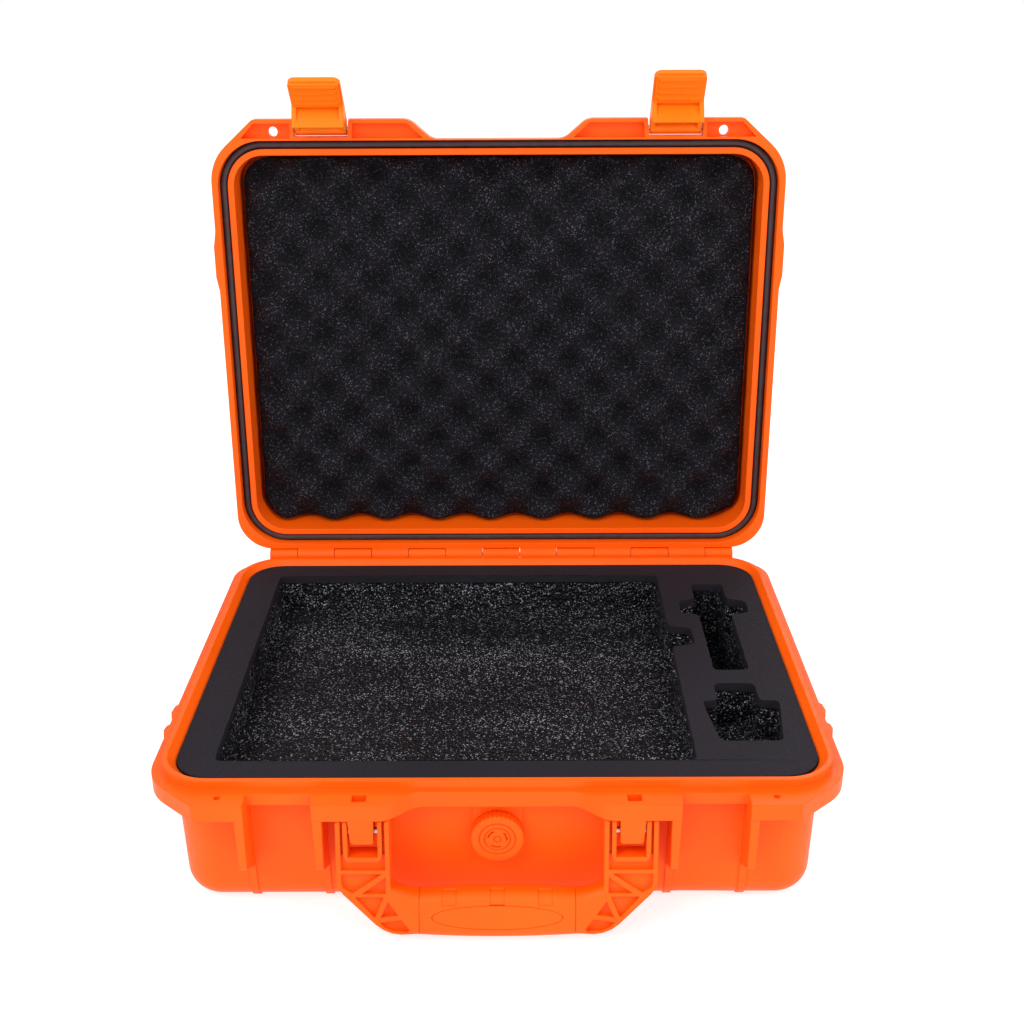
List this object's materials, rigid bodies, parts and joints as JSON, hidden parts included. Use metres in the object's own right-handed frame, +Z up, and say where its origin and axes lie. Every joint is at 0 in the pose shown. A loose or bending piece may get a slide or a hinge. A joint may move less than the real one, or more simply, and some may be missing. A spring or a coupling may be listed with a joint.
{
  "type": "drone carrying case",
  "caption": "Hard carrying case standing open: hinged lid with swing latches, folding handle, pressure valve, sealing gasket and cut foam inserts.",
  "frame": {"origin": "centre of the underside that the case stands on", "axes": "+Z up, +X to the right seen from the handle side, +Y towards the hinge"},
  "size_m": [0.3372, 0.3339, 0.3691],
  "materials": {
    "case_plastic": "satin moulded polypropylene, orange",
    "latch_plastic": "satin moulded plastic, slightly yellower orange",
    "handle_plastic": "satin moulded plastic, orange",
    "black_plastic": "black nylon",
    "seal_rubber": "soft dark rubber",
    "face_foam": "smooth closed-cell foam sheet",
    "cut_foam": "rough cut polyethylene foam",
    "lid_foam": "open-cell convoluted foam",
    "pin_steel": "bright drawn steel rod"
  },
  "bodies": {
    "base": {"base_shell": "case_plastic", "base_foam_face": "face_foam", "base_foam_upper": "cut_foam", "base_foam_lower": "cut_foam", "base_foam_floor": "cut_foam", "hinge_pin": "pin_steel", "valve_nut": "black_plastic", "valve_seal": "seal_rubber"},
    "lid": {"lid_shell": "case_plastic", "lid_foam": "lid_foam", "lid_gasket": "seal_rubber", "latch_pin_left": "pin_steel", "latch_pin_right": "pin_steel"},
    "latch_left": {"latch_lever_left": "latch_plastic"},
    "latch_right": {"latch_lever_right": "latch_plastic"},
    "handle": {"handle_frame": "handle_plastic", "handle_grip_cover": "handle_plastic", "handle_badge": "handle_plastic", "handle_pin_left": "pin_steel", "handle_pin_right": "pin_steel"},
    "valve": {"valve_knob": "handle_plastic", "valve_stem": "handle_plastic"}
  },
  "joints": [
    {"name": "lid_hinge", "type": "hinge", "parent": "base", "child": "lid", "pos_m": [0, 0.134, 0.074], "axis": [1, 0, 0], "range_deg": [0, 92.8]},
    {"name": "latch_left_hinge", "type": "hinge", "parent": "lid", "child": "latch_left", "pos_m": [-0.1015, 0.14982, 0.33604], "axis": [1, 0, 0], "range_deg": [-67, 43]},
    {"name": "latch_right_hinge", "type": "hinge", "parent": "lid", "child": "latch_right", "pos_m": [0.1015, 0.14982, 0.33604], "axis": [1, 0, 0], "range_deg": [-59, 51]},
    {"name": "handle_hinge", "type": "hinge", "parent": "base", "child": "handle", "pos_m": [0, -0.129, 0.0545], "axis": [1, 0, 0], "range_deg": [-95, 0]},
    {"name": "valve_turn", "type": "hinge", "parent": "base", "child": "valve", "pos_m": [0, -0.1166, 0.044], "axis": [0, -1, 0], "range_deg": [0, 180]}
  ]
}
